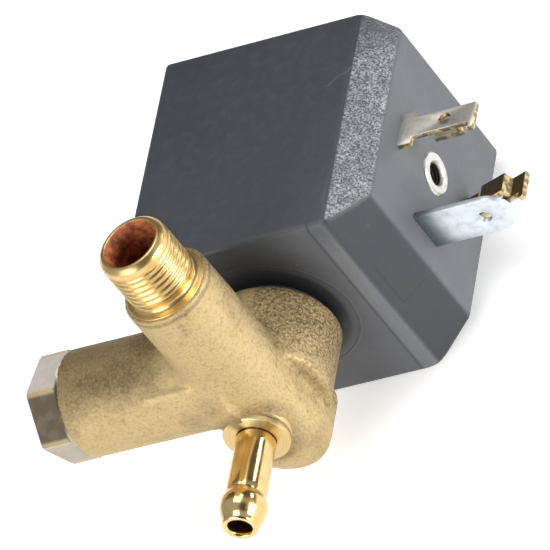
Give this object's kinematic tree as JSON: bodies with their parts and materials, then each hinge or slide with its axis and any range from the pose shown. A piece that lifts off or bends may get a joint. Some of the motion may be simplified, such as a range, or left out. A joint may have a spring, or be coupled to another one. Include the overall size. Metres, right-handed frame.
{
  "type": "solenoid valve",
  "caption": "Small direct-acting solenoid valve: forged brass body with threaded inlet arm, hexagon side port and hose barb, under a dark moulded coil with a three-blade connector face.",
  "frame": {"origin": "the point of the coil's flat back face that the valve lies on, straight under the plunger's axis and 18 mm above the coil's underside along that axis", "axes": "+X out of the connector face, +Y along the plunger's axis away from the brass body, +Z away from the surface that the valve lies on"},
  "size_m": [0.0602, 0.0758, 0.0496],
  "materials": {
    "forged_brass": "matte, sandblasted forging",
    "turned_brass": "bright turned",
    "dull_brass": "dull, darkened strip",
    "stainless_steel": "turned",
    "yoke_steel": "plain strip",
    "spring_steel": "drawn wire",
    "nickel_plate": "bright plated",
    "tin_plate": "tinned, slightly warm grey",
    "zinc_plate": "bluish zinc plate",
    "copper": "bare or enamelled",
    "rubber": "matte",
    "coil_resin": "dark slate grey moulding, satin",
    "bobbin_nylon": "natural",
    "winding_tape": "polyester tape"
  },
  "bodies": {
    "valve": {"valve_body": "forged_brass", "hose_barb": "turned_brass", "seat_nozzle": "stainless_steel", "guide_collar": "stainless_steel", "guide_tube": "stainless_steel", "tube_seal": "rubber", "fixed_core": "stainless_steel", "shading_ring": "copper", "coil_gasket": "rubber", "coil_housing": "coil_resin", "yoke_frame": "yoke_steel", "bobbin": "bobbin_nylon", "winding": "copper", "winding_tape": "winding_tape", "terminal_line": "tin_plate", "terminal_neutral": "dull_brass", "terminal_earth": "zinc_plate", "screw_insert": "nickel_plate", "lead_wire_line": "copper", "lead_wire_neutral": "copper", "lock_washer": "stainless_steel", "coil_nut": "nickel_plate", "plunger_spring": "spring_steel"},
    "plunger": {"plunger": "stainless_steel", "plunger_seal": "rubber"}
  },
  "joints": [
    {"name": "plunger_slide", "type": "slide", "parent": "valve", "child": "plunger", "axis": [0, 1, 0], "range_m": [0, 0.0018], "stiffness_N_per_m": 250, "springref_m": -0.006, "deforming": ["plunger_spring"]}
  ]
}
